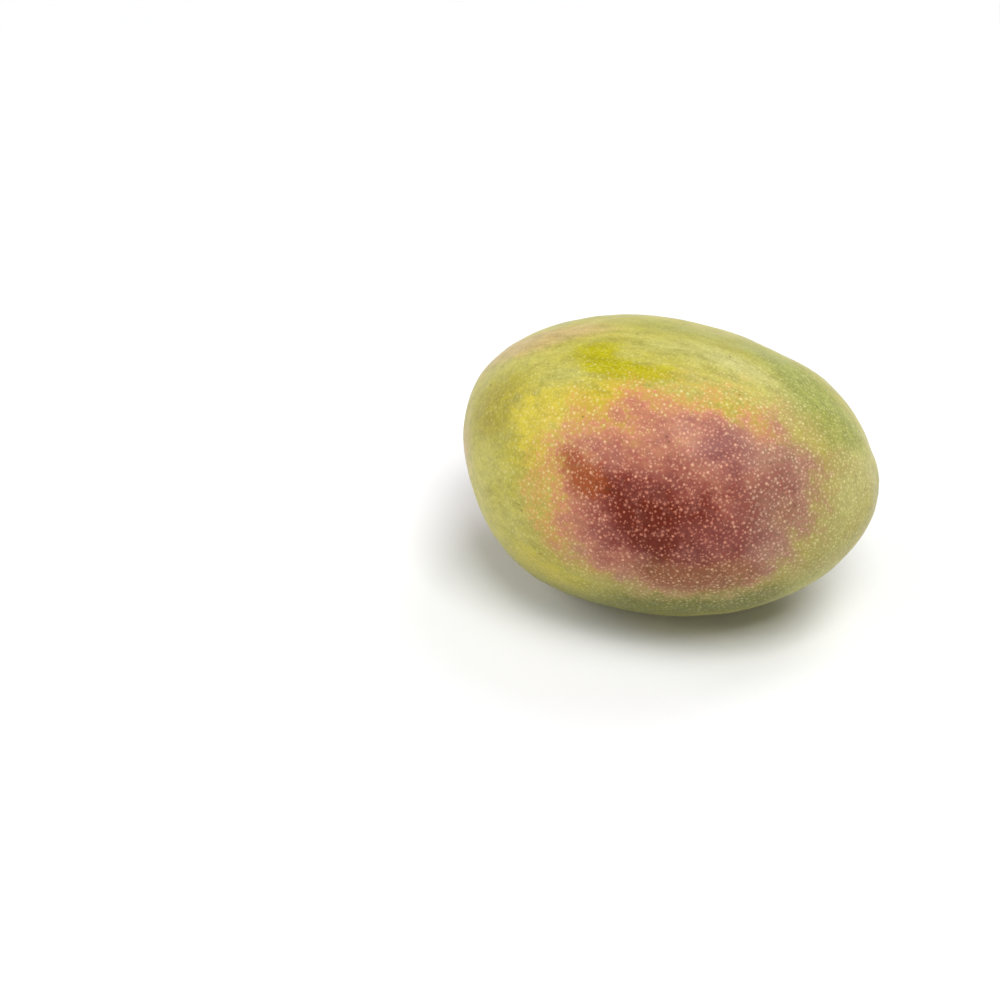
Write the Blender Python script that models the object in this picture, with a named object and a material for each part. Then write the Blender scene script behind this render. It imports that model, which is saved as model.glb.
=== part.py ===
"""A whole mango with its short stem stub, lying on its cheek.

Blender 4.5, metres, +Z up. +X runs along the fruit from the stem end (-X) to the tip (+X), -Y is the fuller
back, +Y the flatter belly that the blunt beak sits on, and the origin is the middle of the small flat spot
that the fruit rests on.
"""

import math

import bmesh
import bpy
from mathutils import Matrix, Vector

MM = 0.001

# Driving dimensions, in millimetres.
LENGTH = 125.7  # stem end to tip, before the stem hollow
WIDTH = 91.7  # back to belly
THICKNESS = 82.7  # cheek to cheek, before the resting spot
FULLNESS = 1.994  # exponent of the outline along the fruit: 2 is an ellipse
WIDTH_TAPER = 0.057  # width gained from the middle to the tip, as a share
THICKNESS_TAPER = -0.014
BEND = 5.476  # how far both ends lean towards the belly
BEND_SKEW = -1.774  # and how much less the tip does

SPOT_DEPTH = 1.45  # height lost to the resting spot, which makes it about 33 x 22
SPOT_BLEND = 0.3  # height over which the skin curves into it
BASIN_DEPTH = 2.6  # hollow that the stem stands in
BASIN_RADIUS = 8.0
BASIN_FLOOR_RADIUS = 3.0  # flat round floor under the stub
SHOULDER_RISE = 0.3  # swelling around the hollow
SHOULDER_RADIUS = 13.0
SHOULDER_SPREAD = 5.5

# Low swellings and hollows of the grown skin: place along the half length (-1 stem end, 1 tip), place around in
# degrees (0 belly, 90 upper cheek, 180 back, 270 lower cheek), height, reach along and reach around.
SWELLINGS = (
    (-0.50, 222.0, 3.2, 26.0, 29.0),  # full back shoulder, low on the stem end
    (-0.78, 20.0, 1.1, 15.0, 19.0),  # smaller belly shoulder
    (-0.94, 100.0, 0.3, 8.0, 8.0),
    (-0.84, 72.0, -0.35, 12.0, 12.0),
    (-0.30, 59.0, 0.45, 14.0, 14.0),
    (0.985, 335.0, 0.6, 9.0, 9.0),  # blunt beak under the tip
    (0.96, 30.0, 0.35, 5.0, 5.0),
    (0.91, 38.0, -0.35, 8.0, 8.0),  # and the slight hollow above it
    (0.05, 335.0, -0.9, 30.0, 16.0),  # flatter belly
    (-0.28, 118.0, 0.45, 17.0, 14.0),
    (0.32, 150.0, -0.4, 15.0, 13.0),
    (0.64, 47.0, 0.45, 12.0, 14.0),
    (0.37, 51.0, -0.25, 12.0, 12.0),
    (-0.10, 186.0, -0.35, 13.0, 12.0),
    (0.15, 290.0, 0.4, 18.0, 16.0),
    (0.92, 252.0, 0.25, 12.0, 14.0),
)

STUB_GAP = 0.3
STUB_LENGTH = 3.4
STUB_RADIUS = 2.1
STUB_FLARE = 2.45  # radius where it meets the fruit
STUB_LEAN = 0.3  # sideways drift of the free end

SEGMENTS = 52  # around the fruit
RINGS = 50  # along the fruit
RING_CROWDING = 1.2  # above 1 crowds the rings at the stem end
STUB_SEGMENTS = 20

HEIGHT_OF_AXIS = THICKNESS / 2 - SPOT_DEPTH


def bump(distance, reach):
    """A smooth bump: 1 at distance 0, about a third at the reach."""
    return math.exp(-((distance / reach) ** 2))


def plain_point(u, phi):
    """The plain bent egg, about its middle: u runs -1..1 from the stem end to the tip, phi around the long axis."""
    girth = (1 - abs(u) ** FULLNESS) ** (1 / FULLNESS) if abs(u) < 1 else 0.0
    return Vector(
        (
            LENGTH / 2 * u,
            BEND * u * u
            + BEND_SKEW * u**3
            + WIDTH / 2 * (1 + WIDTH_TAPER * u) * girth * math.cos(phi),
            THICKNESS / 2 * (1 + THICKNESS_TAPER * u) * girth * math.sin(phi),
        )
    )


def outward(point, u):
    """The direction that the skin faces there, near enough for moving it a little."""
    centre = BEND * u * u + BEND_SKEW * u**3
    return Vector(
        (
            point.x / (LENGTH / 2) ** 2,
            (point.y - centre) / (WIDTH / 2) ** 2,
            point.z / (THICKNESS / 2) ** 2,
        )
    ).normalized()


def swelling_at(point, normal):
    height = 0.0
    for along, around, rise, reach_along, reach_around in SWELLINGS:
        centre = plain_point(along, math.radians(around))
        gap = point - centre
        run = Vector((1, 0, 0)) - normal * normal.x
        run = run.normalized() if run.length > 1e-3 else Vector((0, 1, 0))
        on = gap.dot(run)
        off = math.sqrt(max(0.0, gap.length_squared - on * on))
        height += rise * math.exp(-((on / reach_along) ** 2) - (off / reach_around) ** 2)
    return height


def fruit_point(theta, phi):
    """The skin, in millimetres: theta runs 0..pi from the stem end to the tip, phi around the long axis."""
    u = -math.cos(theta)
    point = plain_point(u, phi)
    reach = math.hypot(
        point.y - BEND * u * u - BEND_SKEW * u**3, point.z
    )  # from the long axis
    normal = outward(point, u)
    if u < 0:
        fade = 1 - bump(reach, SHOULDER_RADIUS)  # nothing but the hollow at the stem
        point += normal * swelling_at(point, normal) * fade
        if reach < BASIN_FLOOR_RADIUS:  # the floor is flat
            half_width = WIDTH / 2 * (1 - WIDTH_TAPER)
            point.x = -LENGTH / 2 * math.sqrt(1 - (BASIN_FLOOR_RADIUS / half_width) ** 2)
        inside = max(0.0, reach - BASIN_FLOOR_RADIUS)
        point.x += BASIN_DEPTH * bump(inside, BASIN_RADIUS - BASIN_FLOOR_RADIUS)
        point.x -= SHOULDER_RISE * bump(reach - SHOULDER_RADIUS, SHOULDER_SPREAD)
    else:
        point += normal * swelling_at(point, normal)
    # The resting spot is flat in the middle and curves in around it.
    up = point.z + HEIGHT_OF_AXIS
    if up < -SPOT_BLEND:
        up = 0.0
    elif up < SPOT_BLEND:
        up = (up + SPOT_BLEND) ** 2 / (4 * SPOT_BLEND)
    point.z = up
    return point


def principled(name, colour, roughness):
    material = bpy.data.materials.new(name)
    material.use_nodes = True
    shader = material.node_tree.nodes["Principled BSDF"]
    shader.inputs["Base Color"].default_value = (*colour, 1.0)
    shader.inputs["Roughness"].default_value = roughness
    shader.inputs["Metallic"].default_value = 0.0
    material.diffuse_color = (*colour, 1.0)
    return material


def object_from(bm, name, material):
    mesh = bpy.data.meshes.new(name)
    if bm.calc_volume(signed=True) < 0:
        bmesh.ops.reverse_faces(bm, faces=bm.faces)
    bm.to_mesh(mesh)
    bm.free()
    mesh.shade_smooth()
    mesh.set_sharp_from_angle(angle=math.radians(35))
    mesh.materials.append(material)
    obj = bpy.data.objects.new(name, mesh)
    bpy.context.scene.collection.objects.link(obj)
    return obj


def make_fruit():
    bm = bmesh.new()
    bmesh.ops.create_uvsphere(bm, u_segments=SEGMENTS, v_segments=RINGS, radius=1.0)
    for vert in bm.verts:
        # The sphere's poles are on Z: its bottom pole becomes the stem end.
        even = math.acos(max(-1.0, min(1.0, -vert.co.z))) / math.pi
        phi = math.atan2(vert.co.y, vert.co.x)
        vert.co = fruit_point(math.pi * even**RING_CROWDING, phi) * MM
    return object_from(bm, "fruit", principled("mango_skin", (0.42, 0.36, 0.10), 0.42))


def make_stub():
    floor = fruit_point(0.0, 0.0)
    # Rings from the base out: distance from the base, radius, sideways drift.
    rings = [
        (0.0, STUB_FLARE - 0.15, 0.0),
        (0.25, STUB_FLARE, 0.0),
        (0.9, STUB_RADIUS + 0.12, 0.02),
        (1.7, STUB_RADIUS - 0.08, 0.08),
        (2.5, STUB_RADIUS, 0.18),
        (STUB_LENGTH - 0.3, STUB_RADIUS + 0.1, STUB_LEAN),
        (STUB_LENGTH, STUB_RADIUS - 0.2, STUB_LEAN + 0.03),
    ]
    bm = bmesh.new()
    bmesh.ops.create_circle(bm, cap_ends=True, segments=STUB_SEGMENTS, radius=rings[0][1] * MM)
    face = bm.faces[:][0]
    along, radius = 0.0, rings[0][1]
    drift = 0.0
    for next_along, next_radius, next_drift in rings[1:]:
        made = bmesh.ops.extrude_face_region(bm, geom=[face])
        verts = [v for v in made["geom"] if isinstance(v, bmesh.types.BMVert)]
        old = face
        face = next(f for f in made["geom"] if isinstance(f, bmesh.types.BMFace))
        if old.is_valid and along > 0:
            bmesh.ops.delete(bm, geom=[old], context="FACES_ONLY")
        centre = Vector((drift, 0, along)) * MM
        bmesh.ops.scale(
            bm,
            verts=verts,
            vec=(next_radius / radius,) * 3,
            space=Matrix.Translation(-centre),
        )
        bmesh.ops.translate(
            bm,
            verts=verts,
            vec=Vector((next_drift - drift, 0, next_along - along)) * MM,
        )
        along, radius, drift = next_along, next_radius, next_drift
    # Local Z runs out of the fruit, and local X, the drift, goes up.
    out = Matrix(((0, 0, -1, 0), (0, 1, 0, 0), (1, 0, 0, 0), (0, 0, 0, 1)))
    bmesh.ops.transform(bm, matrix=out, verts=bm.verts)
    obj = object_from(bm, "stem_stub", principled("stem_wood", (0.23, 0.15, 0.08), 0.8))
    obj.location = (floor - Vector((STUB_GAP, 0, 0))) * MM
    return obj


def main():
    for obj in list(bpy.data.objects):
        bpy.data.objects.remove(obj, do_unlink=True)
    make_fruit()
    make_stub()


main()
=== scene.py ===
import math

import bpy
import numpy as np
from mathutils import Matrix, Vector, kdtree


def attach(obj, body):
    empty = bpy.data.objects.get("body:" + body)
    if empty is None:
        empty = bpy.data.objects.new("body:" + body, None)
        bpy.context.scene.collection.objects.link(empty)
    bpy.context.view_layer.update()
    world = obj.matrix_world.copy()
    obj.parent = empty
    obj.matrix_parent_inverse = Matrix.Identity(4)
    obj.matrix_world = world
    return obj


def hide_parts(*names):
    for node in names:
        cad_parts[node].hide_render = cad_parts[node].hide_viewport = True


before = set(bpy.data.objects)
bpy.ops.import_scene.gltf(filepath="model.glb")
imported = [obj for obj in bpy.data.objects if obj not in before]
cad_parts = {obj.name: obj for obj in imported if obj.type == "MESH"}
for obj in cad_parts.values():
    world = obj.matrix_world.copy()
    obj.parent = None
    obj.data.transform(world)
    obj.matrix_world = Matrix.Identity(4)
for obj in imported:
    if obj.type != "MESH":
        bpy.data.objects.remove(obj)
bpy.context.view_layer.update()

MM = 0.001

# ---------------------------------------------------------------------------------------------------------------
# The grown shape, as in the construction. Millimetres.

LENGTH, WIDTH, THICKNESS = 125.7, 91.7, 82.7
FULLNESS = 1.994
WIDTH_TAPER, THICKNESS_TAPER = 0.057, -0.014
BEND, BEND_SKEW = 5.476, -1.774
SPOT_DEPTH, SPOT_BLEND = 1.45, 0.3
BASIN_DEPTH, BASIN_RADIUS, BASIN_FLOOR_RADIUS = 2.6, 8.0, 3.0
SHOULDER_RISE, SHOULDER_RADIUS, SHOULDER_SPREAD = 0.3, 13.0, 5.5
HEIGHT_OF_AXIS = THICKNESS / 2 - SPOT_DEPTH
SWELLINGS = (
    (-0.50, 222.0, 3.2, 26.0, 29.0),
    (-0.78, 20.0, 1.1, 15.0, 19.0),
    (-0.94, 100.0, 0.3, 8.0, 8.0),
    (-0.84, 72.0, -0.35, 12.0, 12.0),
    (-0.30, 59.0, 0.45, 14.0, 14.0),
    (0.985, 335.0, 0.6, 9.0, 9.0),
    (0.96, 30.0, 0.35, 5.0, 5.0),
    (0.91, 38.0, -0.35, 8.0, 8.0),
    (0.05, 335.0, -0.9, 30.0, 16.0),
    (-0.28, 118.0, 0.45, 17.0, 14.0),
    (0.32, 150.0, -0.4, 15.0, 13.0),
    (0.64, 47.0, 0.45, 12.0, 14.0),
    (0.37, 51.0, -0.25, 12.0, 12.0),
    (-0.10, 186.0, -0.35, 13.0, 12.0),
    (0.15, 290.0, 0.4, 18.0, 16.0),
    (0.92, 252.0, 0.25, 12.0, 14.0),
)


def spine(u):
    return BEND * u * u + BEND_SKEW * u**3


def plain_point(u, phi):
    girth = (1 - np.minimum(np.abs(u), 1.0) ** FULLNESS) ** (1 / FULLNESS)
    return np.stack(
        [
            LENGTH / 2 * u,
            spine(u) + WIDTH / 2 * (1 + WIDTH_TAPER * u) * girth * np.cos(phi),
            THICKNESS / 2 * (1 + THICKNESS_TAPER * u) * girth * np.sin(phi),
        ],
        -1,
    )


def unit(v):
    return v / np.maximum(np.linalg.norm(v, axis=-1, keepdims=True), 1e-9)


def outward(point, u):
    off = point - np.stack([0 * u, spine(u), 0 * u], -1)
    return unit(off / np.array([LENGTH / 2, WIDTH / 2, THICKNESS / 2]) ** 2)


def patch(point, normal, along, around, reach_along, reach_around):
    """A soft round patch on the skin: 1 at (along, around), fading over its reach in millimetres."""
    centre = plain_point(np.array(float(along)), np.radians(around))
    gap = point - centre
    run = unit(np.array([1.0, 0, 0]) - normal * normal[:, :1])
    on = (gap * run).sum(-1)
    off = np.sqrt(np.maximum(0.0, (gap**2).sum(-1) - on**2))
    return np.exp(-((on / reach_along) ** 2) - (off / reach_around) ** 2)


def waves(point, size, seed, count=28):
    """A smooth repeatable waviness of about that size in millimetres, roughly -1..1."""
    rng = np.random.default_rng(seed)
    turns = unit(rng.normal(size=(count, 3))) * (2 * np.pi / size) * rng.uniform(0.6, 1.5, (count, 1))
    phase = rng.uniform(0, 2 * np.pi, count)
    return np.sin(point @ turns.T + phase).sum(-1) / math.sqrt(count) * 0.9


# ---------------------------------------------------------------------------------------------------------------
# The skin's net of points: a cube's six sides blown up to the fruit's shape, so that the points lie evenly.

COUNTS = (152, 112, 108)  # steps along X, Y and Z


def cube_net(counts):
    """Points on the unit sphere, quads, and a flat layout of the six sides in a square, for the baked colours."""
    across = [np.tan(np.linspace(-np.pi / 4, np.pi / 4, n + 1)) for n in counts]
    index, points, quads, layout = {}, [], [], []
    # Sides: fixed axis, its sign, the two running axes, and the tile's corner in the layout.
    arc = (99.0, 72.0, 65.0)
    tiles = (
        (1, -1, 0, 2, (2, 2)),
        (1, 1, 0, 2, (104, 2)),
        (2, 1, 0, 1, (2, 70)),
        (2, -1, 0, 1, (104, 70)),
        (0, -1, 1, 2, (2, 145)),
        (0, 1, 1, 2, (78, 145)),
    )
    for fixed, sign, first, second, corner in tiles:
        grid = np.zeros((counts[first] + 1, counts[second] + 1), int)
        for i in range(counts[first] + 1):
            for j in range(counts[second] + 1):
                key = [0, 0, 0]
                key[fixed] = counts[fixed] if sign > 0 else 0
                key[first], key[second] = i, j
                key = tuple(key)
                if key not in index:
                    index[key] = len(points)
                    points.append([across[k][key[k]] for k in range(3)])
                grid[i, j] = index[key]
        odd = (first, second) in ((0, 1), (1, 2)) or (first, second, fixed) == (2, 0, 1)
        flip = (sign > 0) != odd
        for i in range(counts[first]):
            for j in range(counts[second]):
                ring = [(i, j), (i + 1, j), (i + 1, j + 1), (i, j + 1)]
                if flip:
                    ring.reverse()
                quads.append([grid[a, b] for a, b in ring])
                layout.append(
                    [
                        (
                            (corner[0] + arc[first] * a / counts[first]) / 212.0,
                            (corner[1] + arc[second] * b / counts[second]) / 212.0,
                        )
                        for a, b in ring
                    ]
                )
    points = unit(np.array(points))
    return points, np.array(quads), np.array(layout, np.float32)


def mesh_from(name, points, faces):
    mesh = bpy.data.meshes.new(name)
    mesh.from_pydata([tuple(p) for p in points.tolist()], [], faces.tolist())
    mesh.validate()
    mesh.shade_smooth()
    obj = bpy.data.objects.new(name, mesh)
    bpy.context.scene.collection.objects.link(obj)
    return obj


def number_on(mesh, name, values, domain="POINT"):
    values = np.asarray(values, np.float32)
    kind = "FLOAT" if values.ndim == 1 else "FLOAT_VECTOR"
    attribute = mesh.attributes.new(name, kind, domain)
    attribute.data.foreach_set("value" if values.ndim == 1 else "vector", values.reshape(-1))


def vertex_normals(points, quads):
    face = np.cross(points[quads[:, 2]] - points[quads[:, 0]], points[quads[:, 3]] - points[quads[:, 1]])
    total = np.zeros_like(points)
    for k in range(4):
        np.add.at(total, quads[:, k], face)
    return unit(total)


def grow_skin(sphere):
    """The skin's points in millimetres, with the stem hollow and the slow unevenness of a grown fruit."""
    u = np.clip(sphere[:, 0], -1, 1)
    phi = np.arctan2(sphere[:, 2], sphere[:, 1])
    point = plain_point(u, phi)
    normal = outward(point, u)
    reach = np.hypot(point[:, 1] - spine(u), point[:, 2])
    rise = sum(h * patch(point, normal, a, r, ra, rr) for a, r, h, ra, rr in SWELLINGS)
    rise = rise + 0.16 * waves(point, 26, 3) + 0.07 * waves(point, 11, 4) + 0.022 * waves(point, 4.5, 5)
    stem_side = u < 0
    fade = np.where(stem_side, 1 - np.exp(-((reach / SHOULDER_RADIUS) ** 2)), 1.0)
    point = point + normal * (rise * fade)[:, None]
    # The hollow, with soft folds running out of it and a low collar around the stem.
    half = WIDTH / 2 * (1 - WIDTH_TAPER)
    floor = -LENGTH / 2 * math.sqrt(1 - (BASIN_FLOOR_RADIUS / half) ** 2)
    x = np.where(stem_side & (reach < BASIN_FLOOR_RADIUS), floor, point[:, 0])
    inside = np.maximum(0, reach - BASIN_FLOOR_RADIUS)
    hollow = BASIN_DEPTH * np.exp(-((inside / (BASIN_RADIUS - BASIN_FLOOR_RADIUS)) ** 2))
    ring = SHOULDER_RISE * np.exp(-(((reach - SHOULDER_RADIUS) / SHOULDER_SPREAD) ** 2))
    swirl = phi + 0.02 * reach
    folds = np.sin(5 * swirl + 0.8) + 0.8 * np.sin(8 * swirl + 2.1) + 0.5 * np.sin(13 * swirl)
    folds = 0.17 * folds * np.exp(-(((reach - 6.5) / 3.2) ** 2)) * np.clip((reach - 3) / 2, 0, 1)
    collar = -0.42 * np.exp(-(((reach - 3.25) / 0.55) ** 2)) * (1 + 0.25 * np.sin(7 * phi + 1))
    x = np.where(stem_side, x + hollow - ring + folds + collar, x)
    point[:, 0] = x
    # The dry dimple of the old flower, at the very tip.
    tip = plain_point(np.array(0.985), np.radians(12.0))
    near = np.linalg.norm(point - tip, axis=1)
    point -= normal * (0.35 * np.exp(-((near / 1.1) ** 2)) - 0.16 * np.exp(-(((near - 2.0) / 0.8) ** 2)))[:, None]
    return point, normal, u, phi, reach, near


def settle(point):
    up = point[:, 2] + HEIGHT_OF_AXIS
    up = np.where(up < -SPOT_BLEND, 0.0, np.where(up < SPOT_BLEND, (up + SPOT_BLEND) ** 2 / (4 * SPOT_BLEND), up))
    return np.stack([point[:, 0], point[:, 1], up], -1)


# ---------------------------------------------------------------------------------------------------------------
# Lenticels: the pale breathing dots of the skin.


def scatter_dots(point, quads, u, most=8600, seed=11):
    """Dots dropped at random on the skin, never closer than their own spacing: their centres, and u there."""
    rng = np.random.default_rng(seed)
    corner = point[quads]
    area = np.linalg.norm(np.cross(corner[:, 2] - corner[:, 0], corner[:, 3] - corner[:, 1]), axis=1)
    tries = 60000
    face = rng.choice(len(quads), tries, p=area / area.sum())
    a, b = rng.uniform(size=(2, tries, 1))
    c = corner[face]
    place = (c[:, 0] * (1 - a) + c[:, 1] * a) * (1 - b) + (c[:, 3] * (1 - a) + c[:, 2] * a) * b
    u = u[quads[face, 0]]
    # Finer and closer towards the tip, large and open around the stem.
    spacing = 1.22 - 0.24 * smooth(u, -0.1, 0.7) + 0.9 * np.exp(-(((u + 1.0) / 0.16) ** 2))
    spacing *= rng.uniform(0.85, 1.25, tries)
    cell = 2.8
    grid, chosen = {}, []
    spots = place.tolist()
    for i in range(tries):
        if len(chosen) == most:
            break
        x, y, z = spots[i]
        a, b, c = int(x // cell), int(y // cell), int(z // cell)
        beside = [
            spots[j]
            for da in (-1, 0, 1)
            for db in (-1, 0, 1)
            for dc in (-1, 0, 1)
            for j in grid.get((a + da, b + db, c + dc), ())
        ]
        limit = spacing[i] ** 2
        if all((q[0] - x) ** 2 + (q[1] - y) ** 2 + (q[2] - z) ** 2 >= limit for q in beside):
            grid.setdefault((a, b, c), []).append(i)
            chosen.append(i)
    return place[chosen], u[chosen]


def two_nearest(places, centres):
    tree = kdtree.KDTree(len(centres))
    for k, centre in enumerate(centres.tolist()):
        tree.insert(centre, k)
    tree.balance()
    return np.array([[found[1] for found in tree.find_n(p, 2)] for p in places.tolist()])


# ---------------------------------------------------------------------------------------------------------------
# Material helpers


def new_material(name):
    material = bpy.data.materials.new(name)
    material.use_nodes = True
    tree = material.node_tree
    tree.nodes.clear()
    out = tree.nodes.new("ShaderNodeOutputMaterial")
    shader = tree.nodes.new("ShaderNodeBsdfPrincipled")
    tree.links.new(shader.outputs["BSDF"], out.inputs["Surface"])
    return material, tree, shader


class Graph:
    """Short names for the nodes of one material."""

    def __init__(self, tree):
        self.tree = tree

    def node(self, kind, **settings):
        made = self.tree.nodes.new(kind)
        for key, value in settings.items():
            setattr(made, key, value)
        return made

    def put(self, socket, value):
        if isinstance(value, bpy.types.NodeSocket):
            self.tree.links.new(value, socket)
        elif isinstance(value, tuple) and len(value) == 3 and socket.type == "RGBA":
            socket.default_value = (*value, 1.0)
        else:
            socket.default_value = value

    def number(self, name):
        return self.node("ShaderNodeAttribute", attribute_name=name).outputs["Fac"]

    def vector(self, name):
        return self.node("ShaderNodeAttribute", attribute_name=name).outputs["Vector"]

    def math(self, operation, a, b=None, c=None, clamp=False):
        made = self.node("ShaderNodeMath", operation=operation, use_clamp=clamp)
        for socket, value in zip(made.inputs, (a, b, c)):
            if value is not None:
                self.put(socket, value)
        return made.outputs[0]

    def vmath(self, operation, a, b=None, scale=None):
        made = self.node("ShaderNodeVectorMath", operation=operation)
        self.put(made.inputs[0], a)
        if b is not None:
            self.put(made.inputs[1], b)
        if scale is not None:
            self.put(made.inputs["Scale"], scale)
        return made.outputs["Value" if operation in ("LENGTH", "DOT_PRODUCT") else "Vector"]

    def ramp(self, value, low, high, to_low=0.0, to_high=1.0, smooth=True):
        made = self.node("ShaderNodeMapRange", interpolation_type="SMOOTHSTEP" if smooth else "LINEAR")
        self.put(made.inputs["Value"], value)
        self.put(made.inputs["From Min"], low)
        self.put(made.inputs["From Max"], high)
        self.put(made.inputs["To Min"], to_low)
        self.put(made.inputs["To Max"], to_high)
        return made.outputs["Result"]

    def mix(self, amount, a, b, blend="MIX"):
        made = self.node("ShaderNodeMix", data_type="RGBA", blend_type=blend, clamp_factor=True)
        self.put(made.inputs["Factor"], amount)
        self.put(made.inputs[6], a)
        self.put(made.inputs[7], b)
        return made.outputs[2]

    def noise(self, where, scale, detail=2.0, rough=0.5, distort=0.0):
        made = self.node("ShaderNodeTexNoise")
        self.put(made.inputs["Vector"], where)
        self.put(made.inputs["Scale"], scale)
        self.put(made.inputs["Detail"], detail)
        self.put(made.inputs["Roughness"], rough)
        self.put(made.inputs["Distortion"], distort)
        return made.outputs["Fac"]


# ---------------------------------------------------------------------------------------------------------------
# The skin


def smooth(value, low, high):
    t = np.clip((value - low) / (high - low), 0, 1)
    return t * t * (3 - 2 * t)


def spots_of(point, normal, spots):
    """Sum of soft patches, each (along, around in degrees, amount, reach along, reach around)."""
    return sum(k * patch(point, normal, a, r, ra, rr) for a, r, k, ra, rr in spots)


# Soft patches of the ripening skin, and a dark band underneath that is partly painted shade: place along, place around
# in degrees, amount, reach along and around in mm.
LIME = (
    (-0.30, 101, 1.0, 8, 5),
    (-0.18, 109, 0.9, 9, 4),
    (-0.02, 107, 0.75, 9, 3),
    (0.12, 104, 0.5, 9, 3),
    (-0.45, 118, 0.15, 8, 4),
    (0.52, 262, 0.6, 15, 7),
    (0.05, 285, 0.5, 12, 6),
    (0.10, 25, 0.7, 13, 7),
    (-0.35, 342, 0.5, 10, 7),
)
YELLOW = (
    (-0.30, 128, 1.0, 19, 6.5),
    (-0.10, 118, 0.7, 9, 5),
    (-0.50, 140, 0.5, 9, 7),
    (0.36, 112, 0.45, 5, 4),
    (0.22, 108, 0.25, 10, 5),
    (-0.38, 150, 0.8, 9, 7),
    (-0.30, 205, 0.7, 17, 10),
    (0.10, 245, 0.7, 20, 10),
    (-0.20, 50, 0.7, 20, 12),
    (0.45, 330, 0.8, 18, 12),
)
OLIVE = (
    (-0.72, 137, 1.0, 13, 10.5),
    (-0.55, 118, 0.12, 9, 8),
    (-0.50, 152, 0.4, 8, 8),
    (-0.62, 240, 0.5, 16, 15),
    (-0.60, 10, 0.6, 15, 12),
    (0.55, 20, 0.35, 15, 10),
    (0.42, 113, 0.5, 8, 5),
    (0.27, 115, 0.35, 8, 4),
    (0.58, 115, 0.3, 7, 7),
)
SAGE = (
    (0.66, 78, 1.0, 13, 9),
    (0.86, 84, 0.7, 8, 10),
    (0.93, 98, 0.5, 6, 8),
    (0.60, 98, 0.4, 9, 7),
    (0.80, 98, 0.5, 9, 8),
    (0.42, 70, 0.5, 15, 9),
    (0.86, 200, 0.5, 9, 9),
    (0.88, 150, 0.5, 7, 14),
    (0.70, 240, 0.7, 14, 12),
    (0.20, 300, 0.6, 18, 12),
    (0.75, 330, 0.5, 12, 10),
    (-0.05, 75, 0.5, 22, 9),
)
PEACH = (
    (-0.66, 92, 1.0, 14, 7),
    (-0.40, 84, 0.55, 11, 6),
    (-0.86, 70, 0.8, 10, 12),
    (-0.88, 180, 0.7, 9, 14),
    (-0.80, 330, 0.8, 12, 16),
    (-0.25, 345, 0.5, 16, 10),
)
# Dark olive green low on the front and underneath: partly the skin's own deeper green, partly painted shade where the
# fruit turns down to the floor.
UNDERSIDE_GREEN_AND_SHADE = (
    (0.36, 211, 1.0, 22, 11),
    (0.38, 203, 0.55, 17, 5),
    (0.62, 214, 0.7, 14, 12),
    (0.00, 222, 0.6, 20, 13),
    (-0.38, 226, 0.45, 20, 14),
    (-0.05, 262, 0.35, 20, 14),
    (0.35, 270, 0.35, 18, 12),
)
PALE = (
    (0.93, 110, 0.8, 10, 12),
    (0.90, 160, 0.55, 9, 13),
    (0.97, 0, 0.7, 9, 12),
    (0.30, 88, 0.7, 22, 6),
    (-0.05, 93, 0.4, 12, 4),
    (-0.38, 115, 0.5, 10, 4),
    (0.78, 192, 0.4, 8, 6),
)
RUST = (
    (-0.12, 154, 1.0, 6.5, 6),
    (-0.24, 147, 0.6, 5, 5),
)
PLUM = (
    (0.47, 166, 1.0, 12, 5.5),
    (0.34, 138, 0.5, 9, 5),
    (0.42, 122, 0.6, 7, 5),
    (0.56, 132, 0.25, 7, 6),
    (0.12, 151, 0.5, 9, 5),
    (0.63, 152, 0.45, 8, 6),
)
BROWN = (
    (0.38, 191, 1.0, 14, 5.5),
    (0.56, 187, 0.8, 10, 6),
    (0.74, 154, 0.45, 6, 6),
    (0.22, 184, 0.5, 8, 5),
)
# More or less blush than the plain oval gives.
BLUSH_MORE = (
    (-0.03, 121, 0.22, 6, 5),
    (0.12, 124, 0.05, 7, 6),
    (0.55, 115, 0.13, 6, 6),
    (0.42, 126, 0.32, 8, 6),
    (0.56, 142, 0.12, 8, 6),
    (0.70, 124, 0.12, 8, 7),
    (0.58, 107, 0.09, 7, 6),
    (0.70, 140, 0.10, 8, 8),
    (0.60, 170, 0.10, 10, 8),
    (0.17, 164, 0.10, 7, 6),
    (0.26, 174, 0.16, 7, 6),
    (0.05, 152, 0.07, 6, 5),
    (0.40, 190, 0.18, 9, 5),
    (0.22, 120, 0.07, 8, 5),
    (0.08, 143, -0.10, 5, 5),
    (0.33, 150, -0.08, 5, 4),
    (-0.05, 156, 0.12, 7, 5),
    (0.37, 112, -0.07, 4, 3),
    (0.66, 160, -0.06, 4, 4),
    (-0.22, 160, -0.10, 10, 6),
    (0.88, 166, -0.08, 8, 9),
    (0.75, 173, -0.10, 7, 7),
    (0.18, 166, 0.05, 6, 6),
    (-0.18, 138, 0.10, 8, 6),
    (0.81, 128, 0.07, 6, 9),
    (0.95, 150, -0.10, 6, 14),
    (0.12, 114, -0.10, 8, 5),
    (-0.14, 113, -0.08, 6, 4),
    (0.40, 112, -0.06, 6, 4),
    (0.54, 113, -0.08, 6, 5),
    (0.02, 158, 0.06, 8, 7),
    (0.50, 150, -0.05, 6, 5),
)


def around_gap(phi, degrees):
    gap = phi - math.radians(degrees)
    return np.arctan2(np.sin(gap), np.cos(gap))


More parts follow.
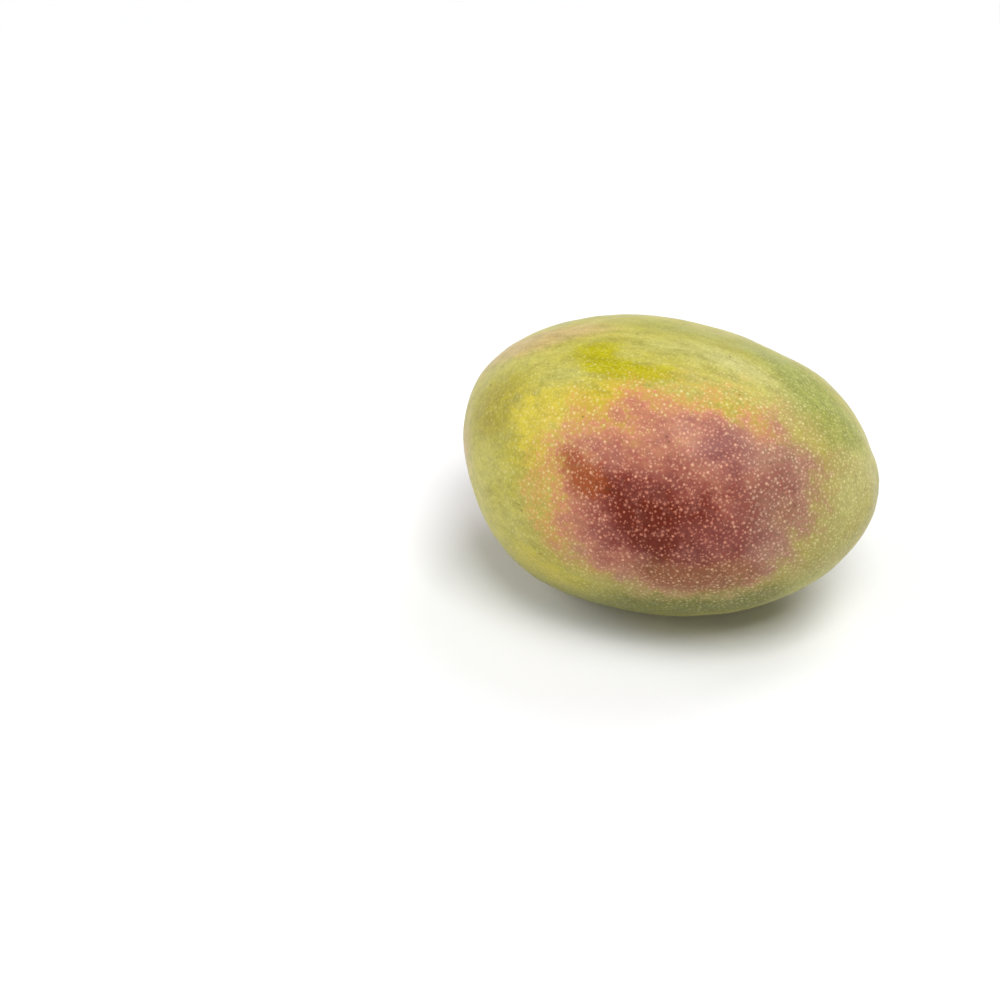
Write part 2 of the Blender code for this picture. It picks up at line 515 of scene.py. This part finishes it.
def blush_on(point, normal, u, phi, reach):
    """How dark the red is, 0 none to 1 darkest: an oval on the sunny back, and a touch at the stem shoulder."""
    along = (point[:, 0] - 14.0) / np.where(point[:, 0] > 14.0, 48.0, 41.0)
    across = around_gap(phi, 165.0) * reach
    across = across / np.where(across > 0, 29.0, 41.0)
    away = np.hypot(along, across) + 0.05 * waves(point, 15, 21) + 0.035 * waves(point, 7, 22)
    level = (1.15 - away) / 0.93
    level = 0.07 * np.log1p(np.exp(np.clip(level / 0.07, -30, 30)))  # runs out softly
    level = np.minimum(level, 1.02)
    level = level + spots_of(point, normal, BLUSH_MORE) * smooth(level, 0.0, 0.32)
    # Around the stem, and faint flushes on the side turned away.
    shoulder = 0.46 * np.exp(-(((reach - 13.0) / 11.0) ** 2)) * (u < -0.2) * (0.55 + 0.45 * np.cos(around_gap(phi, 325)))
    other = spots_of(point, normal, ((-0.60, 300, 0.42, 22, 17), (-0.30, 325, 0.24, 20, 12), (0.15, 350, 0.16, 16, 9)))
    other = other * (1 + 0.3 * waves(point, 14, 23))
    return np.clip(np.maximum(level, np.maximum(shoulder, other)), 0, 1.15)


def make_skin():
    sphere, quads, layout = cube_net(COUNTS)
    point, normal, u, phi, reach, tip = grow_skin(sphere)
    obj = mesh_from("skin", settle(point) * MM, quads)
    mesh = obj.data
    uv = mesh.uv_layers.new(name="OFBake")
    uv.data.foreach_set("uv", layout.reshape(-1))

    level = blush_on(point, normal, u, phi, reach)
    zones = [np.clip(spots_of(point, normal, z), 0, 1) for z in (LIME, YELLOW, OLIVE, SAGE, PEACH, UNDERSIDE_GREEN_AND_SHADE, PALE, RUST, PLUM)]
    number_on(mesh, "blush", level)
    # Where the blush runs out in olive brown and not in salmon: towards the tip, and along its lower edge.
    turn = np.degrees(phi) % 360
    dusk = smooth(u + 0.05 * waves(point, 14, 31), 0.36, 0.72)
    lower = 0.9 * smooth(turn + 6 * waves(point, 16, 32), 178, 203) * (1 - smooth(turn, 240, 270))
    number_on(mesh, "dusk", np.maximum(dusk, lower))
    number_on(mesh, "zones_a", np.stack(zones[0:3], -1))
    # zones_b holds sage, peach, and the dark underside band, which is partly painted shade.
    number_on(mesh, "zones_b", np.stack(zones[3:6], -1))
    number_on(mesh, "zones_c", np.stack(zones[6:9], -1))
    brown = np.clip(spots_of(point, normal, BROWN), 0, 1)
    number_on(mesh, "zones_d", np.stack([brown, 0 * u, 0 * u], -1))
    stem = np.where(u < 0, np.exp(-((reach / 5.2) ** 2)), 0.0)
    number_on(mesh, "ends", np.stack([stem, np.exp(-((tip / 1.3) ** 2)), np.exp(-((tip / 4.0) ** 2))], -1))

    # Each corner of a quad keeps the way to the quad's two nearest dots, in millimetres, and those dots' looks:
    # radius, strength, and whether it is one of the few dark ones.
    rng = np.random.default_rng(12)
    centres, place = scatter_dots(point, quads, u)
    size = 0.25 + 0.32 * rng.beta(2.0, 2.6, len(centres))
    size *= 1 + 0.30 * smooth(-place, 0.2, 0.95)
    tone = rng.uniform(0.30, 1.0, len(centres)) * np.where(size > 0.42, 1.0, 0.9)
    dark = (rng.uniform(size=len(centres)) < 0.006).astype(float)
    look = np.stack([size, tone * (1 - dark), dark], -1)
    nearest = two_nearest(point[quads].mean(1), centres)
    for k in (0, 1):
        mine = nearest[:, k]
        number_on(mesh, "dot_way_%d" % k, (point[quads] - centres[mine][:, None]).reshape(-1, 3), "CORNER")
        number_on(mesh, "dot_look_%d" % k, np.repeat(look[mine], 4, axis=0), "CORNER")
    # Dots hardly show on the smooth green cheek near the stem.
    upper = smooth(np.degrees(phi), 88, 122) * (np.degrees(phi) > 0) + (np.degrees(phi) < 0) * 0.8
    show = 0.38 + 0.36 * upper * smooth(u, -0.75, -0.25) + 0.40 * smooth(u, 0.1, 0.6) + 0.75 * smooth(level, 0.05, 0.45)
    number_on(mesh, "dot_show", np.clip(show, 0, 1))
    return obj


def skin_material():
    material, tree, shader = new_material("mango_skin_ripe")
    g = Graph(tree)
    where = g.node("ShaderNodeTexCoord").outputs["Object"]
    mm = g.vmath("SCALE", where, scale=1000.0)  # millimetres
    drawn = g.vmath("MULTIPLY", mm, (0.36, 1.0, 1.0))  # drawn out along the fruit

    def zones(name):
        split = g.node("ShaderNodeSeparateXYZ")
        g.put(split.inputs[0], g.vector(name))
        return split.outputs[0], split.outputs[1], split.outputs[2]

    lime, yellow, olive = zones("zones_a")
    sage, peach, underside_green_and_shade = zones("zones_b")
    pale, rust, plum = zones("zones_c")
    brown, _, _ = zones("zones_d")
    stem, scar, scar_ring = zones("ends")

    cloud = g.noise(drawn, 0.085, 4.0, 0.6)
    streak = g.noise(drawn, 0.36, 4.0, 0.62, 0.4)
    blotch = g.noise(g.vmath("ADD", mm, (12.0, 71.0, 25.0)), 0.17, 3.0, 0.6)
    mottle = g.noise(mm, 0.55, 3.0, 0.6)
    speck = g.noise(mm, 1.5, 2.0, 0.55)
    fleck = g.noise(mm, 2.2, 1.0, 0.5)

    def broken(mask, by, width=0.5):
        """A zone whose edge is broken up by a noise."""
        shifted = g.math("ADD", mask, g.math("MULTIPLY_ADD", by, width, -0.5 * width))
        return g.ramp(shifted, 0.12, 0.88)

    # The green and yellow ground.
    ground = g.mix(g.ramp(cloud, 0.36, 0.66), (0.39, 0.347, 0.046), (0.45, 0.403, 0.088))
    ground = g.mix(broken(sage, streak, 0.6), ground, (0.285, 0.30, 0.058))
    ground = g.mix(broken(pale, streak, 0.6), ground, (0.43, 0.405, 0.125))
    ground = g.mix(broken(olive, streak, 0.8), ground, (0.33, 0.275, 0.022))
    ground = g.mix(broken(yellow, streak, 0.9), ground, (0.50, 0.405, 0.030))
    ground = g.mix(broken(lime, streak, 1.1), ground, (0.37, 0.33, 0.004))
    ground = g.mix(g.math("MULTIPLY", broken(peach, streak, 0.7), 0.85), ground, (0.47, 0.325, 0.12))
    # The dark band low on the fruit: partly deeper green skin, partly painted shade on the underside.
    ground = g.mix(g.ramp(g.math("ADD", underside_green_and_shade, g.math("MULTIPLY_ADD", streak, 0.7, -0.35)), -0.05, 1.05), ground, (0.138, 0.137, 0.009))
    fine = g.ramp(streak, 0.30, 0.72, 0.75, 1.18, smooth=False)
    ground = g.mix(1.0, ground, fine, blend="MULTIPLY")
    ground = g.mix(1.0, ground, g.ramp(speck, 0.25, 0.75, 0.83, 1.13, smooth=False), blend="MULTIPLY")

    # The blush, broken up most where it fades.
    level = g.number("blush")
    dusk = g.number("dusk")
    edge = g.math("MULTIPLY", g.ramp(level, 0.0, 0.22), g.ramp(level, 0.55, 1.1, 1.0, 0.75))
    edge = g.math("MULTIPLY", edge, g.math("MULTIPLY_ADD", dusk, -0.5, 1.0))
    shake = g.math("MULTIPLY_ADD", mottle, 0.50, -0.25)
    shake = g.math("ADD", shake, g.math("MULTIPLY_ADD", streak, 0.42, -0.21))
    shake = g.math("ADD", shake, g.math("MULTIPLY_ADD", speck, 0.50, -0.25))
    shake = g.math("ADD", shake, g.math("MULTIPLY_ADD", blotch, 0.44, -0.22))
    red = g.math("ADD", level, g.math("MULTIPLY", shake, edge))
    # Salmon over the yellow side, a dusty brown rose over the green end.
    skin = g.mix(g.ramp(red, 0.01, 0.40), ground, g.mix(dusk, (0.50, 0.265, 0.065), (0.355, 0.262, 0.085)))
    skin = g.mix(g.ramp(red, 0.24, 0.52), skin, g.mix(dusk, (0.44, 0.18, 0.098), (0.33, 0.165, 0.105)))
    skin = g.mix(g.ramp(red, 0.46, 0.74), skin, g.mix(dusk, (0.315, 0.095, 0.062), (0.25, 0.096, 0.067)))
    skin = g.mix(g.ramp(red, 0.66, 0.93), skin, (0.185, 0.037, 0.026))
    skin = g.mix(g.ramp(red, 0.84, 1.06), skin, (0.12, 0.013, 0.003))
    misty = g.math("MULTIPLY", g.ramp(blotch, 0.46, 0.68, 0.0, 0.40), g.ramp(red, 0.35, 0.70))
    misty = g.math("MULTIPLY", misty, g.ramp(mottle, 0.30, 0.62, 0.25, 1.0))
    skin = g.mix(misty, skin, (0.28, 0.112, 0.092))
    skin = g.mix(g.math("MULTIPLY", broken(brown, mottle, 0.7), 0.62), skin, (0.21, 0.078, 0.020))
    skin = g.mix(g.math("MULTIPLY", broken(plum, cloud, 0.7), 0.62), skin, (0.21, 0.055, 0.043))
    skin = g.mix(g.math("MULTIPLY", broken(rust, mottle, 0.8), 0.88), skin, (0.255, 0.050, 0.006))

    # Close up, the red is uneven from pore to pore.
    uneven = g.math("MULTIPLY", g.ramp(speck, 0.28, 0.72, 0.74, 1.20, smooth=False), g.ramp(mottle, 0.3, 0.7, 0.86, 1.14, smooth=False))
    uneven = g.math("ADD", g.math("MULTIPLY", g.math("SUBTRACT", uneven, 1.0), g.ramp(red, 0.1, 0.5)), 1.0)
    skin = g.mix(1.0, skin, uneven, blend="MULTIPLY")

    # Lenticels: pale corky dots, cream to rosy on the blush, pale yellow-green on the green.
    def dots(k):
        size, tone, dark = zones("dot_look_%d" % k)
        share = g.math("DIVIDE", g.vmath("LENGTH", g.vector("dot_way_%d" % k)), size)
        share = g.math("ADD", share, g.math("MULTIPLY_ADD", fleck, 0.5, -0.25))
        disc = g.ramp(share, 0.25, 1.28, 1.0, 0.0)
        return disc, g.math("MULTIPLY", disc, tone), g.math("MULTIPLY", disc, dark)

    (disc, pale_dots, dark_dots), (disc_1, pale_1, dark_1) = dots(0), dots(1)
    disc = g.math("MAXIMUM", disc, disc_1)
    showing = g.math("MULTIPLY", g.math("MAXIMUM", pale_dots, pale_1), g.number("dot_show"))
    dot = g.mix(0.62, ground, (0.74, 0.68, 0.33))
    dot = g.mix(g.ramp(red, 0.15, 0.60), dot, g.mix(dusk, (0.70, 0.38, 0.24), (0.62, 0.41, 0.285)))
    dot = g.mix(g.ramp(red, 0.60, 1.0), dot, (0.60, 0.225, 0.14))
    dot = g.mix(g.math("MULTIPLY", brown, 0.7), dot, (0.62, 0.40, 0.19))
    skin = g.mix(g.math("MULTIPLY", showing, 0.92), skin, dot)
    skin = g.mix(g.math("MULTIPLY", g.math("MAXIMUM", dark_dots, dark_1), 0.6), skin, (0.085, 0.045, 0.02))
    # Dust-fine paler specks fill the room between the dots.
    dust = g.node("ShaderNodeTexVoronoi", feature="F1")
    g.put(dust.inputs["Vector"], mm)
    g.put(dust.inputs["Scale"], 1.05)
    specks = g.math("MULTIPLY", g.ramp(dust.outputs["Distance"], 0.14, 0.42, 1.0, 0.0), g.ramp(fleck, 0.36, 0.60, 0.25, 1.0))
    specks = g.math("MULTIPLY", specks, g.math("MULTIPLY_ADD", g.number("dot_show"), 0.5, 0.08))
    skin = g.mix(g.math("MULTIPLY", specks, g.math("SUBTRACT", 1.0, disc)), skin, dot)
    # Tiny dark pricks between the dots.
    prick = g.node("ShaderNodeTexVoronoi", feature="F1")
    g.put(prick.inputs["Vector"], mm)
    g.put(prick.inputs["Scale"], 0.42)
    pricks = g.math("MULTIPLY", g.ramp(prick.outputs["Distance"], 0.05, 0.12, 1.0, 0.0), g.ramp(mottle, 0.45, 0.6))
    skin = g.mix(g.math("MULTIPLY", pricks, 0.45), skin, (0.10, 0.05, 0.02))

    # The stem hollow is russet, and the old flower left a small brown scar at the tip.
    russet = g.math("MULTIPLY", stem, g.ramp(speck, 0.25, 0.7, 0.35, 1.0))
    skin = g.mix(g.ramp(russet, 0.15, 0.9, 0.0, 0.85), skin, (0.17, 0.105, 0.045))
    skin = g.mix(g.math("MULTIPLY", scar_ring, g.ramp(speck, 0.2, 0.8, 0.25, 0.75)), skin, (0.30, 0.24, 0.09))
    skin = g.mix(g.ramp(scar, 0.25, 0.8), skin, (0.06, 0.035, 0.018))
    g.put(shader.inputs["Base Color"], skin)

    # Satin: a little duller on the dots and where the bloom is left.
    rough = g.ramp(cloud, 0.3, 0.7, 0.32, 0.42)
    rough = g.math("ADD", rough, g.math("MULTIPLY", disc, 0.10))
    rough = g.math("ADD", rough, g.math("MULTIPLY_ADD", speck, 0.10, -0.05), clamp=True)
    g.put(shader.inputs["Roughness"], rough)
    shader.inputs["Specular IOR Level"].default_value = 0.21
    shader.inputs["IOR"].default_value = 1.45
    # The bloom: a thin wax that greys the skin where it turns away.
    shader.inputs["Sheen Weight"].default_value = 0.04
    shader.inputs["Sheen Roughness"].default_value = 0.45
    shader.inputs["Sheen Tint"].default_value = (0.92, 0.96, 1.0, 1.0)

    # Relief in millimetres: raised dots, pores and soft unevenness.
    pores = g.noise(mm, 2.6, 2.0, 0.6)
    dents = g.noise(mm, 0.22, 2.0, 0.5)
    relief = g.math("MULTIPLY", disc, 0.010)
    relief = g.math("ADD", relief, g.math("MULTIPLY", pores, 0.016))
    relief = g.math("ADD", relief, g.math("MULTIPLY", mottle, 0.030))
    relief = g.math("ADD", relief, g.math("MULTIPLY", dents, 0.10))
    bump = g.node("ShaderNodeBump")
    g.put(bump.inputs["Strength"], 1.0)
    g.put(bump.inputs["Distance"], 0.001)
    g.put(bump.inputs["Height"], relief)
    g.put(shader.inputs["Normal"], bump.outputs["Normal"])
    return material


skin = make_skin()
skin.data.materials.append(skin_material())
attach(skin, "root")
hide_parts("fruit")

# ---------------------------------------------------------------------------------------------------------------
# The stem stub: dry bark around, a dark cut face with a paler pith.

STUB_BASE_X = -60.05
STUB_LENGTH, STUB_RADIUS, STUB_FLARE = 3.70, 2.1, 2.45


def make_stub():
    rng = np.random.default_rng(5)
    around = 96
    # Distance from the base, radius and bark strength of each ring; then the cut face, inwards.
    rings = [
        (0.0, STUB_FLARE - 0.05, 0.2),
        (0.15, STUB_FLARE + 0.02, 0.5),
        (0.35, STUB_FLARE - 0.03, 1.0),
        (0.6, STUB_RADIUS + 0.22, 1.0),
        (0.9, STUB_RADIUS + 0.10, 1.0),
        (1.3, STUB_RADIUS + 0.0, 1.0),
        (1.7, STUB_RADIUS - 0.06, 1.0),
        (2.1, STUB_RADIUS - 0.05, 1.0),
        (2.5, STUB_RADIUS - 0.02, 1.0),
        (2.9, STUB_RADIUS + 0.02, 1.0),
        (3.2, STUB_RADIUS + 0.05, 1.0),
        (3.42, STUB_RADIUS + 0.02, 0.9),
        (3.58, STUB_RADIUS - 0.08, 0.6),
        (STUB_LENGTH - 0.03, STUB_RADIUS - 0.22, 0.3),
        (STUB_LENGTH, STUB_RADIUS - 0.38, 0.15),
        (STUB_LENGTH - 0.05, STUB_RADIUS - 0.62, 0.1),
        (STUB_LENGTH - 0.14, STUB_RADIUS - 0.95, 0.06),
        (STUB_LENGTH - 0.20, STUB_RADIUS - 1.3, 0.03),
        (STUB_LENGTH - 0.16, STUB_RADIUS - 1.6, 0.0),
        (STUB_LENGTH - 0.12, STUB_RADIUS - 1.85, 0.0),
    ]
    turn = np.arange(around) / around * 2 * np.pi
    bark = (
        0.060 * np.sin(7 * turn + 0.6)
        + 0.045 * np.sin(11 * turn + 2.0)
        + 0.035 * np.sin(17 * turn + 0.3)
        + 0.022 * np.sin(29 * turn + 1.1)
    )
    points, cut = [], []
    for k, (out, radius, strength) in enumerate(rings):
        wave = 0.05 * np.sin(3 * turn + 0.9 * out) + 0.03 * np.sin(5 * turn - 0.7 * out + 1)
        crack = 0.03 * rng.normal(size=around)
        r = radius + strength * (bark * (1 + 0.25 * math.sin(1.7 * out)) + wave + crack * 0.5)
        lean = 0.3 * (out / STUB_LENGTH) ** 2
        tilt = 0.10 * (out / STUB_LENGTH) ** 3  # the cut is not quite square
        for t, radius_here in zip(turn, r):
            y, z = radius_here * math.cos(t), radius_here * math.sin(t)
            points.append((STUB_BASE_X - out - tilt * z * 0.5, spine(-1.0) + y, HEIGHT_OF_AXIS + lean + z))
            cut.append(min(1.0, max(0.0, (k - 12) / 2.0)))
    faces = []
    for k in range(len(rings) - 1):
        for i in range(around):
            j = (i + 1) % around
            a, b = k * around, (k + 1) * around
            faces.append((a + i, b + i, b + j, a + j))
    faces.append(tuple(range(around)))
    faces.append(tuple(reversed(range((len(rings) - 1) * around, len(rings) * around))))
    mesh = bpy.data.meshes.new("stub")
    mesh.from_pydata([tuple(c * MM for c in p) for p in points], [], faces)
    mesh.validate()
    mesh.shade_smooth()
    obj = bpy.data.objects.new("stub", mesh)
    bpy.context.scene.collection.objects.link(obj)
    number_on(mesh, "cut", np.array(cut))
    off = np.array([(p[1] - spine(-1.0), p[2] - HEIGHT_OF_AXIS) for p in points])
    number_on(mesh, "from_pith", np.hypot(off[:, 0], off[:, 1]))
    return obj


def stub_material():
    material, tree, shader = new_material("stem_bark")
    g = Graph(tree)
    mm = g.vmath("SCALE", g.node("ShaderNodeTexCoord").outputs["Object"], scale=1000.0)
    grain = g.noise(g.vmath("MULTIPLY", mm, (0.35, 1.0, 1.0)), 2.4, 4.0, 0.65, 0.3)
    crumbs = g.noise(mm, 4.0, 3.0, 0.6)
    bark = g.mix(g.ramp(grain, 0.32, 0.68), (0.115, 0.065, 0.032), (0.36, 0.25, 0.14))
    bark = g.mix(g.ramp(crumbs, 0.5, 0.8, 0.0, 0.55), bark, (0.40, 0.36, 0.27))
    pith = g.number("from_pith")
    rings = g.node("ShaderNodeTexWave", wave_type="RINGS", rings_direction="X")
    g.put(rings.inputs["Vector"], g.vmath("SUBTRACT", mm, (0.0, float(spine(-1.0)), HEIGHT_OF_AXIS)))
    g.put(rings.inputs["Scale"], 1.1)
    g.put(rings.inputs["Distortion"], 1.5)
    wood = g.mix(rings.outputs["Fac"], (0.050, 0.028, 0.015), (0.13, 0.078, 0.040))
    wood = g.mix(g.ramp(pith, 0.35, 0.75, 0.8, 0.0), wood, (0.22, 0.15, 0.085))
    wood = g.mix(g.ramp(crumbs, 0.55, 0.8, 0.0, 0.6), wood, (0.028, 0.017, 0.011))
    g.put(shader.inputs["Base Color"], g.mix(g.ramp(g.number("cut"), 0.2, 0.9), bark, wood))
    shader.inputs["Specular IOR Level"].default_value = 0.2
    g.put(shader.inputs["Roughness"], g.ramp(grain, 0.2, 0.8, 0.68, 0.92))
    relief = g.math("ADD", g.math("MULTIPLY", grain, 0.12), g.math("MULTIPLY", crumbs, 0.07))
    bump = g.node("ShaderNodeBump")
    g.put(bump.inputs["Strength"], 1.0)
    g.put(bump.inputs["Distance"], 0.001)
    g.put(bump.inputs["Height"], relief)
    g.put(shader.inputs["Normal"], bump.outputs["Normal"])
    return material


stub = make_stub()
stub.data.materials.append(stub_material())
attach(stub, "root")
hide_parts("stem_stub")

# ---------------------------------------------------------------------------------------------------------------
# Floor, light and camera


def make_floor():
    """A white floor that thins out far from the fruit, so that it meets the white surroundings without an edge."""
    mesh = bpy.data.meshes.new("floor")
    side = 6.0
    mesh.from_pydata([(-side, -side, 0), (side, -side, 0), (side, side, 0), (-side, side, 0)], [], [(0, 1, 2, 3)])
    obj = bpy.data.objects.new("floor", mesh)
    bpy.context.scene.collection.objects.link(obj)
    material, tree, shader = new_material("floor_white")
    shader.inputs["Base Color"].default_value = (0.80, 0.80, 0.80, 1)
    shader.inputs["Roughness"].default_value = 0.6
    shader.inputs["Specular IOR Level"].default_value = 0.2
    g = Graph(tree)
    far = g.vmath("LENGTH", g.node("ShaderNodeTexCoord").outputs["Object"])
    g.put(shader.inputs["Alpha"], g.ramp(far, 0.20, 0.55, 1.0, 0.0))
    mesh.materials.append(material)
    return obj


def soft_light(name, place, size, watts, colour=(1, 1, 1)):
    light = bpy.data.lights.new(name, "AREA")
    light.shape = "RECTANGLE"
    light.size, light.size_y = size
    light.energy = watts
    light.color = colour
    obj = bpy.data.objects.new(name, light)
    bpy.context.scene.collection.objects.link(obj)
    obj.location = place
    aim = Vector((0, 0, 0.04)) - Vector(place)
    obj.rotation_euler = aim.to_track_quat("-Z", "Y").to_euler()
    return obj


def make_lights():
    soft_light("overhead", (0.46, -0.40, 1.40), (0.9, 0.8), 19.5)
    soft_light("left", (-1.3, -0.3, 0.9), (0.9, 0.9), 8.0)
    soft_light("left_front", (-1.0, -1.0, 0.9), (0.9, 0.9), 5.0)
    soft_light("back", (0.3, 1.0, 1.2), (0.9, 0.9), 11.0)
    soft_light("top", (0, 0, 1.5), (1.3, 1.3), 1.5)
    # White around and below, a dim ceiling.
    world = bpy.data.worlds.new("studio_white")
    world.use_nodes = True
    g = Graph(world.node_tree)
    split = g.node("ShaderNodeSeparateXYZ")
    g.put(split.inputs[0], g.node("ShaderNodeTexCoord").outputs["Generated"])
    sky = g.mix(g.ramp(split.outputs[2], 0.15, 0.28), (1.0, 1.0, 1.0), (0.11, 0.12, 0.135))
    g.put(world.node_tree.nodes["Background"].inputs["Color"], sky)
    world.node_tree.nodes["Background"].inputs["Strength"].default_value = 1.0
    bpy.context.scene.world = world


def make_camera():
    yaw, tilt, distance, focus = math.radians(22.9), math.radians(35), 0.750, 2550.0
    back = Vector((math.sin(yaw) * math.cos(tilt), -math.cos(yaw) * math.cos(tilt), math.sin(tilt)))
    right = Vector((math.cos(yaw), math.sin(yaw), 0))
    up = back.cross(right)
    middle = Vector((0, 0.35 * BEND * MM, HEIGHT_OF_AXIS * MM))
    place = middle + back * distance - right * 0.04802 - up * 0.01130
    camera = bpy.data.cameras.new("camera")
    camera.sensor_fit = "HORIZONTAL"
    camera.sensor_width = 36.0
    camera.lens = focus / 1000 * 36.0
    camera.clip_start, camera.clip_end = 0.01, 50.0
    obj = bpy.data.objects.new("camera", camera)
    bpy.context.scene.collection.objects.link(obj)
    obj.matrix_world = Matrix(
        (
            (right.x, up.x, back.x, place.x),
            (right.y, up.y, back.y, place.y),
            (right.z, up.z, back.z, place.z),
            (0, 0, 0, 1),
        )
    )
    bpy.context.scene.camera = obj


make_floor()
make_lights()
make_camera()
bpy.context.scene.view_settings.view_transform = "Standard"
